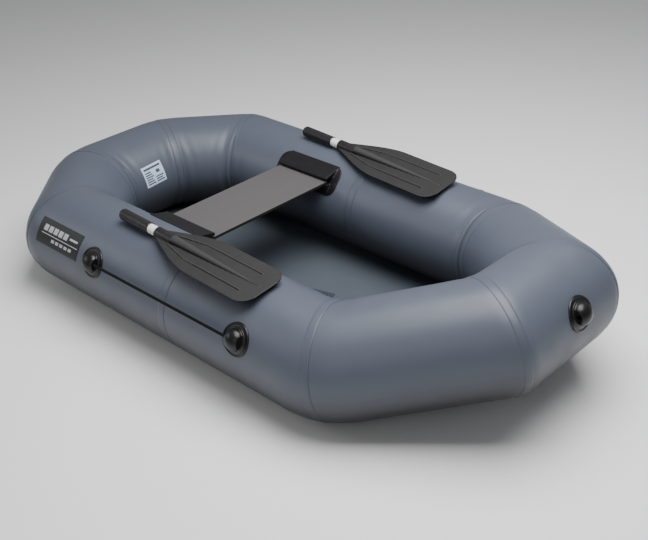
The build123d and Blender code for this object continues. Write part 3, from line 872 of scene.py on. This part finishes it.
def add_film(node, material, place, size, gap, thickness, slant=0.0, tilt=0.0):
    """A thin film on a tube; place is the tube's axis point, outward and along the film."""
    axis_point, outward, along = place
    across = outward.cross(along)
    width, length = size
    side = PLATE_ROWS + 1
    points = []
    for height, inset in ((gap, 0), (gap + 0.7 * thickness, 0), (gap + thickness, FILM_BEVEL)):
        for row in range(side):
            for column in range(side):
                u, v = 2 * column / PLATE_ROWS - 1, 2 * row / PLATE_ROWS - 1
                a = u * (width / 2 - inset - slant / 2) + v * slant / 2
                b = v * (length / 2 - inset)
                a, b = a * cos(tilt) - b * sin(tilt), a * sin(tilt) + b * cos(tilt)
                out = sqrt((RADIUS + height) ** 2 - b * b)
                points.append(axis_point + along * a + across * b + outward * out)
    layer = side * side
    faces = grid(side, side, first=2 * layer)
    faces += rim_faces(side, side, 0, layer) + rim_faces(side, side, layer, 2 * layer)
    faces += grid(side, side)
    piece = make_piece("film_" + node, points, faces, [material])
    mesh = piece.data
    face_map = mesh.uv_layers.new(name="face")
    for polygon in mesh.polygons:
        for loop in polygon.loop_indices:
            spot = mesh.vertices[mesh.loops[loop].vertex_index].co - axis_point
            a, b = spot.dot(along), spot.dot(across)
            a, b = a * cos(tilt) + b * sin(tilt), -a * sin(tilt) + b * cos(tilt)
            face_map.data[loop].uv = (a / width + 0.5, b / length + 0.5)
    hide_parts(node)


PLATE_ELEVATION = radians(30)
PLATE_HEIGHT = 79 * MM
PLATE_SLANT = 9 * MM
PLATE_THICKNESS = 0.5 * MM
LABEL_ELEVATION = radians(19.5)
LABEL_SIZE = (82 * MM, 70 * MM)
LABEL_TILT = radians(4)
LABEL_GAP = 0.45 * MM
LABEL_THICKNESS = 0.3 * MM


def add_plates():
    """The slanting maker's plate outside, and the slightly turned label inside the stern."""
    low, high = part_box("maker_plate")
    axis_point = Vector(((low.x + high.x) / 2, -SIDE_Y, AXIS_Z))
    outward = Vector((0, -cos(PLATE_ELEVATION), sin(PLATE_ELEVATION)))
    add_film(
        "maker_plate", plate_print, (axis_point, outward, Vector((1, 0, 0))),
        (high.x - low.x, PLATE_HEIGHT), PLATE_THICKNESS, PLATE_THICKNESS, slant=PLATE_SLANT,
    )
    axis_point = Vector((stern_port.x, middle_of(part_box("data_label")).y, AXIS_Z))
    outward = Vector((cos(LABEL_ELEVATION), 0, sin(LABEL_ELEVATION)))
    add_film(
        "data_label", label_print, (axis_point, outward, Vector((0, 1, 0))),
        LABEL_SIZE, LABEL_GAP, LABEL_THICKNESS, tilt=LABEL_TILT,
    )


add_plates()

# ---------------------------------------------------------------- seat
VOXEL = 1.5 * MM
SMOOTH_ROUNDS = 7

seat_vinyl = moulded("seat_vinyl", (0.0070, 0.0060, 0.0074), 0.44, specular=0.28)


def add_seat_holders():
    """The holders' CAD shape with the soft edges of a moulding."""
    for side in ("starboard", "port"):
        node = "seat_holder_" + side
        builder = bmesh.new()
        builder.from_mesh(nodes[node].data)
        bmesh.ops.remove_doubles(builder, verts=builder.verts, dist=1e-5)
        mesh = bpy.data.meshes.new("moulding_" + node)
        builder.to_mesh(mesh)
        builder.free()
        piece = bpy.data.objects.new("moulding_" + node, mesh)
        scene.collection.objects.link(piece)
        remesh = piece.modifiers.new("voxels", "REMESH")
        remesh.mode = "VOXEL"
        remesh.voxel_size = VOXEL
        soften = piece.modifiers.new("soften", "SMOOTH")
        soften.factor = 0.5
        soften.iterations = SMOOTH_ROUNDS
        apply_modifiers(piece)
        for polygon in piece.data.polygons:
            polygon.use_smooth = True
        piece.data.materials.clear()
        piece.data.materials.append(seat_vinyl)
        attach(piece, "root")
        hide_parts(node)


add_seat_holders()

# ---------------------------------------------------------------- paddles
PADDLE_PITCH = radians(1.0)
PADDLE_YAW = {"starboard": radians(-1.6), "port": radians(-3.0)}
PADDLE_ROLL = {"starboard": radians(7.0), "port": radians(9.5)}
PADDLE_LENGTH = 606 * MM
GRIP_LENGTH = 132 * MM
GRIP_RADIUS = 17 * MM
GRIP_FILLET = 9 * MM
GRIP_RING_PITCH = 7 * MM
BLADE_ROOT = 165 * MM
SOCKET_END = 227 * MM
SPINE_END = 579 * MM
SPINE_TIP = 3 * MM
HALF_PLATE = 2 * MM
EDGE_FLAT = 0.15 * MM
TIP_RADIUS = 45 * MM
SHOULDER = [(167.9 * MM, 16.9 * MM, 0.4), (265.9 * MM, 54 * MM, 0.36), (380.9 * MM, 78 * MM, 0.0)]
RIB = [(235 * MM, 22 * MM), (333 * MM, 40.5 * MM), (550 * MM, 40.5 * MM)]
RIB_HALF = 3.2 * MM
RIB_HEIGHT = 2.8 * MM

BLADE_FACE = (0.0195, 0.0187, 0.0187)
# painted highlight on the raised tops of ribs and spine
BLADE_TOP_HIGHLIGHT = (0.034, 0.033, 0.033)
# painted shade on the blade's steep walls
BLADE_WALL_SHADE = (0.0015, 0.0015, 0.0016)
STEEP_SPAN = (0.35, 0.93)
TOP_HIGHLIGHT_SPAN = (HALF_PLATE + 0.5 * RIB_HEIGHT, HALF_PLATE + 0.95 * RIB_HEIGHT)

grip_plastic = moulded("grip_plastic", (0.014, 0.0125, 0.014), 0.4)


def hermite(x, first, second):
    """Height at x on a smooth curve between two (x, y, slope) points."""
    span = second[0] - first[0]
    t = (x - first[0]) / span
    return (
        (2 * t**3 - 3 * t**2 + 1) * first[1]
        + (t**3 - 2 * t**2 + t) * span * first[2]
        + (3 * t**2 - 2 * t**3) * second[1]
        + (t**3 - t**2) * span * second[2]
    )


def blade_half_width(x):
    """Half width of the blade's outline: socket, flaring shoulder, rounded tip corners."""
    if x <= SHOULDER[0][0]:
        return GRIP_RADIUS
    if x < SHOULDER[1][0]:
        return max(GRIP_RADIUS, hermite(x, SHOULDER[0], SHOULDER[1]))
    if x < SHOULDER[2][0]:
        return hermite(x, SHOULDER[1], SHOULDER[2])
    past = max(0.0, x - (PADDLE_LENGTH - TIP_RADIUS))
    return SHOULDER[2][1] - TIP_RADIUS + sqrt(max(TIP_RADIUS**2 - past**2, 0.0))


def rib_distance(x, y):
    """Distance from a point of the blade's face to the centre line of its rib."""
    nearest = 1.0
    for (ax, ay), (bx, by) in zip(RIB, RIB[1:]):
        share = ((x - ax) * (bx - ax) + (y - ay) * (by - ay)) / ((bx - ax) ** 2 + (by - ay) ** 2)
        share = min(max(share, 0.0), 1.0)
        nearest = min(nearest, hypot(x - ax - share * (bx - ax), y - ay - share * (by - ay)))
    return nearest


def blade_height(x, y):
    """Half thickness of the blade: plate, tapering spine and two ribs."""
    half = blade_half_width(x)
    from_edge = min(half - abs(y), PADDLE_LENGTH - x)
    edge = min(from_edge / HALF_PLATE, 1.0)
    plate = max(HALF_PLATE * sqrt(max(1 - (1 - edge) ** 2, 0.0)), EDGE_FLAT)
    share = min(max((x - SOCKET_END) / (SPINE_END - SOCKET_END), 0.0), 1.0)
    radius = GRIP_RADIUS + (SPINE_TIP - GRIP_RADIUS) * share
    past = max(0.0, x - SPINE_END)
    radius = sqrt(max(radius * radius - past * past, 0.0))
    spine = sqrt(max(radius * radius - y * y, 0.0))
    gap = 0.5 * MM if x > SHOULDER[0][0] else 0.0
    body = (plate + spine + sqrt((plate - spine) ** 2 + gap * gap)) / 2
    body = body if edge >= 1 else max(plate, spine)
    rib = RIB_HEIGHT * (1 - smooth_step(rib_distance(x, abs(y)), RIB_HALF * 0.45, RIB_HALF))
    return max(body, plate + rib)


def paddle_place(side):
    """The paddle's own frame: x from the grip's end to the tip, z up."""
    turn = Matrix.Rotation(PADDLE_YAW[side], 4, "Z") @ Matrix.Rotation(PADDLE_PITCH, 4, "Y")
    turn = turn @ Matrix.Rotation(PADDLE_ROLL[side], 4, "X")
    low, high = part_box("paddle_grip_" + side)
    end = (low + high) / 2 - turn.to_3x3() @ Vector((GRIP_LENGTH / 2, 0, 0))
    return Matrix.Translation(end) @ turn


def blade_plastic():
    """Moulded blade: dull faces, painted shade on its steep walls, and a painted highlight on the
    tops of its ribs and spine.
    """
    shader = Shader("blade_plastic", BLADE_FACE, 0.5, specular=0.3)
    coordinates = shader.node("ShaderNodeTexCoord")
    upright = shader.math("ABSOLUTE", shader.axis(coordinates.outputs["Normal"], 2))
    # painted shade: the steeper the face, the darker its colour
    flatness = shader.ramp(upright, STEEP_SPAN, (0, 1), True)
    place = coordinates.outputs["Object"]
    height = shader.math("ABSOLUTE", shader.axis(place, 2))
    # painted highlight: the raised tops of ribs and spine are lighter
    raised = shader.ramp(height, TOP_HIGHLIGHT_SPAN, (0, 1), True)
    face = shader.vary(0.15, 25, 4)
    highlighted = shader.mix(raised, face, BLADE_TOP_HIGHLIGHT)
    shader.paint(shader.mix(flatness, BLADE_WALL_SHADE, highlighted))
    shader.rough_between(0.46, 0.6, 60, 4)
    shader.bump(shader.waves(shader.axis(place, 1), 2.6 * MM), 0.12 * MM, 0.35)
    shader.bump(shader.noise(700, 2), 0.08 * MM, 0.5)
    return shader.material


blade_skin = blade_plastic()


BLADE_ROWS = 200
BLADE_COLUMNS = 161


def add_blade(side):
    """Socket, spine, plate and ribs in one closed mesh; rows are closest at the tip."""
    socket = SHOULDER[0][0]
    stations = [BLADE_ROOT, BLADE_ROOT + 1 * MM, BLADE_ROOT + 2 * MM]
    count = BLADE_ROWS - len(stations)
    span = PADDLE_LENGTH - socket
    stations += [socket + span * sin(pi / 2 * k / (count - 1)) ** 1.1 for k in range(count)]
    top, under = [], []
    for x in stations:
        half = blade_half_width(x)
        for column in range(BLADE_COLUMNS):
            share = column / (BLADE_COLUMNS - 1)
            y = -half * cos(pi * share) if x <= socket else half * (2 * share - 1)
            z = blade_height(x, y)
            top.append(Vector((x, y, z)))
            under.append(Vector((x, y, -z)))
    faces = grid(BLADE_ROWS, BLADE_COLUMNS) + grid(BLADE_ROWS, BLADE_COLUMNS, first=len(top))
    faces += rim_faces(BLADE_ROWS, BLADE_COLUMNS, 0, len(top))
    looks = [blade_skin, grip_plastic]
    piece = make_piece("moulding_paddle_blade_" + side, top + under, faces, looks)
    for polygon in piece.data.polygons:
        centre = polygon.center
        near_axis = hypot(centre.y, centre.z) < GRIP_RADIUS * 1.02
        if near_axis and centre.x < SOCKET_END + 10 * MM and abs(centre.z) > 3 * MM:
            polygon.material_index = 1
    piece.data.set_sharp_from_angle(angle=radians(50))
    finish_paddle_piece(piece, "blade", side)


def finish_paddle_piece(piece, kind, side):
    """Puts a piece made in the paddle's own frame where the paddle lies, on its body."""
    piece.parent = None
    piece.matrix_world = paddle_place(side)
    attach(piece, "paddle_" + side)
    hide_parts("paddle_" + kind + "_" + side)


def grip_profile():
    """Distance along the grip and radius: rounded end, shallow rings and a plain middle."""
    points = []
    for k in range(12, 0, -1):
        angle = pi / 2 * k / 12
        inset, drop = GRIP_FILLET * (1 - sin(angle)), GRIP_FILLET * (1 - cos(angle))
        points.append((inset, GRIP_RADIUS - drop))
    x = GRIP_FILLET + 1 * MM
    while x < GRIP_LENGTH - 3 * MM:
        ring = 0.35 * MM if x < 40 * MM or x > GRIP_LENGTH - 34 * MM else 0.12 * MM
        groove = ring * (0.5 - 0.5 * cos(2 * pi * x / GRIP_RING_PITCH))
        points.append((x, GRIP_RADIUS - groove))
        x += GRIP_RING_PITCH / 8
    end = GRIP_LENGTH
    return points + [(end - 1.5 * MM, GRIP_RADIUS), (end, GRIP_RADIUS - 1.2 * MM), (end, 14 * MM)]


def revolved(name, profile, sides, materials, body):
    """A closed solid turned round the x axis."""
    points = []
    for x, radius in profile:
        for step in range(sides):
            turn = 2 * pi * step / sides
            points.append(Vector((x, radius * cos(turn), radius * sin(turn))))
    faces = grid(len(profile), sides, wrap_columns=True)
    faces += [tuple(range(sides)), tuple(range((len(profile) - 1) * sides, len(profile) * sides))]
    return make_piece(name, points, faces, materials, body)


def add_paddles():
    for side in ("starboard", "port"):
        add_blade(side)
        piece = revolved(
            "moulding_paddle_grip_" + side, grip_profile(), 72, [grip_plastic], "paddle_" + side
        )
        piece.data.set_sharp_from_angle(angle=radians(45))
        finish_paddle_piece(piece, "grip", side)


add_paddles()

# ---------------------------------------------------------------- materials of the CAD pieces
def board_paint():
    """Smooth coated board: warm grey faces and painted shade on its upright edges, with faint long
    grain.
    """
    shader = Shader("board_paint", (0.080, 0.077, 0.077), 0.55, specular=0.3)
    grain = shader.noise(30, 4, stretch=(1.0, 0.12, 1.0))
    face = shader.mix(grain, (0.076, 0.072, 0.072), (0.086, 0.082, 0.082))
    # painted shade: faces that are not flat, the board's edges, are darkened
    facing = shader.node("ShaderNodeNewGeometry").outputs["Normal"]
    flat = shader.math("ABSOLUTE", shader.axis(facing, 2))
    top = shader.math("GREATER_THAN", flat, 0.8)
    shader.paint(shader.mix(top, (0.016, 0.015, 0.015), face))
    shader.bump(grain, 0.15 * MM, 0.3)
    shader.bump(shader.noise(900, 2), 0.05 * MM, 0.4)
    return shader.material


def metal(name, color, roughness):
    """Bare metal with fine wear in its gloss."""
    shader = Shader(name, color, roughness, metallic=1.0)
    shader.rough_between(roughness - 0.05, roughness + 0.1, 300, 3)
    shader.bump(shader.noise(1500, 2), 0.02 * MM, 0.3)
    return shader.material


valve_plastic = moulded("valve_plastic", (0.020, 0.021, 0.023), 0.38)
soft_rubber = moulded("soft_rubber", (0.014, 0.014, 0.015), 0.6, scale=1400)
shaft_paint = moulded("shaft_paint", (0.74, 0.74, 0.73), 0.35, variation=0.03)
rivet_metal = metal("rivet_metal", (0.62, 0.62, 0.64), 0.35)
spring_wire = metal("spring_wire", (0.58, 0.58, 0.60), 0.25)

NODE_LOOKS = {
    "bulkhead_port": hull_pvc,
    "bulkhead_starboard": hull_pvc,
    "floor_bond_tape": patch_pvc,
    "floor_patch": patch_pvc,
    "lifeline_knots_port": rope_yarn,
    "lifeline_knots_starboard": rope_yarn,
    "paddle_rivet_port": rivet_metal,
    "paddle_rivet_starboard": rivet_metal,
    "paddle_shaft_port": shaft_paint,
    "paddle_shaft_starboard": shaft_paint,
    "seat_board": board_paint(),
}
for end in ("bow", "stern"):
    for kind in ("body", "nut", "stem", "cap"):
        NODE_LOOKS["valve_" + kind + "_" + end] = valve_plastic
    NODE_LOOKS["valve_gasket_" + end] = soft_rubber
    NODE_LOOKS["valve_tether_" + end] = soft_rubber
    NODE_LOOKS["valve_spring_" + end] = spring_wire
for node, look in NODE_LOOKS.items():
    nodes[node].material_slots[0].material = look

# ---------------------------------------------------------------- stage and light
STAGE_COLOR = (0.80, 0.80, 0.80)
STAGE_SIZE = 12.0
STAGE_DROP = 0.5 * MM
SKY = (0.97, 0.98, 1.0, 1)
SKY_STRENGTH = 0.26

# name, place, target, width and height, watts
LIGHTS = [
    ("overhead", (0.6, 0.1, 2.3), (0.5, 0, 0), (2.0, 2.0), 121),
    ("front_fill", (1.6, -3.3, 2.0), (0, 0, 0.1), (2.4, 1.6), 12),
    ("left_rim", (-2.6, -2.2, 1.7), (0, 0, 0.1), (1.6, 1.0), 16),
]


def add_area(name, place, target, size, power):
    """A rectangular soft light aimed at a point."""
    data = bpy.data.lights.new(name, "AREA")
    data.shape = "RECTANGLE"
    data.size, data.size_y = size
    data.energy = power
    lamp = bpy.data.objects.new(name, data)
    scene.collection.objects.link(lamp)
    turn = (Vector(target) - Vector(place)).to_track_quat("-Z", "Y")
    lamp.matrix_world = Matrix.Translation(place) @ turn.to_matrix().to_4x4()


def add_stage():
    """A pale plain floor, just below the hull, and an even grey sky."""
    shader = Shader("studio_floor", STAGE_COLOR, 0.8, specular=0.1)
    shader.vary(0.01, 2)
    size = STAGE_SIZE
    points = [(-size, -size, 0), (size, -size, 0), (size, size, 0), (-size, size, 0)]
    mesh = bpy.data.meshes.new("studio_floor")
    mesh.from_pydata(points, [], [(0, 1, 2, 3)])
    mesh.materials.append(shader.material)
    floor = bpy.data.objects.new("studio_floor", mesh)
    floor.location.z = -STAGE_DROP
    scene.collection.objects.link(floor)
    world = bpy.data.worlds.new("studio")
    scene.world = world
    world.use_nodes = True
    sky = world.node_tree.nodes["Background"]
    sky.inputs["Color"].default_value = SKY
    sky.inputs["Strength"].default_value = SKY_STRENGTH


add_stage()
for light in LIGHTS:
    add_area(*light)
